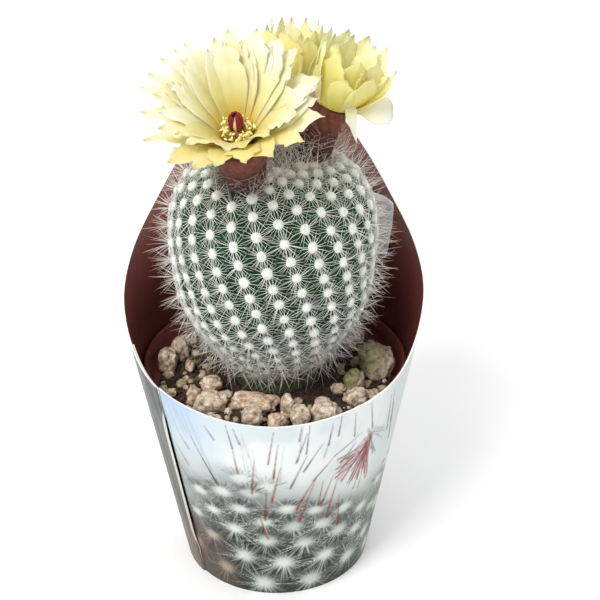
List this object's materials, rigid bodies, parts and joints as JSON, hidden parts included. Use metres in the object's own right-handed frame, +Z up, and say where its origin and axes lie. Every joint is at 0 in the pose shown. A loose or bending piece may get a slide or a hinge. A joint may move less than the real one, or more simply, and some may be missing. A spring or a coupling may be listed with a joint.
{
  "type": "potted round cactus",
  "caption": "Round flowering cactus in a small plastic pot of stony soil, standing in a conical card sleeve with a low front and a tall rounded back board.",
  "frame": {"origin": "centre of the pot's underside, on the surface it stands on", "axes": "+Z up, -Y the low front of the sleeve, +X to the right seen from the front"},
  "size_m": [0.0729, 0.0801, 0.138],
  "materials": {
    "card": "satin",
    "label": "matte",
    "pot_plastic": "satin",
    "soil": "matte",
    "stem": "matte",
    "flower_tube": "matte",
    "petals": "satin",
    "stamens": "matte",
    "stigma": "satin",
    "pumice": "matte"
  },
  "bodies": {
    "root": {"card_sleeve": "card", "inner_label": "label", "pot": "pot_plastic", "soil": "soil", "cactus_stem": "stem", "front_flower_tube": "flower_tube", "front_flower_outer_petals": "petals", "front_flower_inner_petals": "petals", "front_flower_stamens": "stamens", "front_flower_stigma": "stigma", "right_flower_tube": "flower_tube", "right_flower_outer_petals": "petals", "right_flower_inner_petals": "petals", "right_flower_stamens": "stamens", "right_flower_stigma": "stigma", "back_flower_tube": "flower_tube", "back_flower_outer_petals": "petals", "back_flower_inner_petals": "petals", "back_flower_stamens": "stamens", "back_flower_stigma": "stigma", "right_flower_spread_petal": "petals", "right_flower_hanging_petal": "petals", "stone_01": "pumice", "stone_02": "pumice", "stone_03": "pumice", "stone_04": "pumice", "stone_05": "pumice", "stone_06": "pumice", "stone_07": "pumice", "stone_08": "pumice", "stone_09": "pumice", "stone_10": "pumice", "stone_11": "pumice", "stone_12": "pumice", "stone_13": "pumice", "stone_14": "pumice", "stone_15": "pumice", "stone_16": "pumice", "stone_17": "pumice", "stone_18": "pumice", "stone_19": "pumice", "stone_20": "pumice", "stone_21": "pumice", "stone_22": "pumice", "stone_23": "pumice", "stone_24": "pumice", "stone_25": "pumice", "stone_26": "pumice", "stone_27": "pumice", "stone_28": "pumice", "stone_29": "pumice", "stone_30": "pumice"}
  },
  "joints": []
}
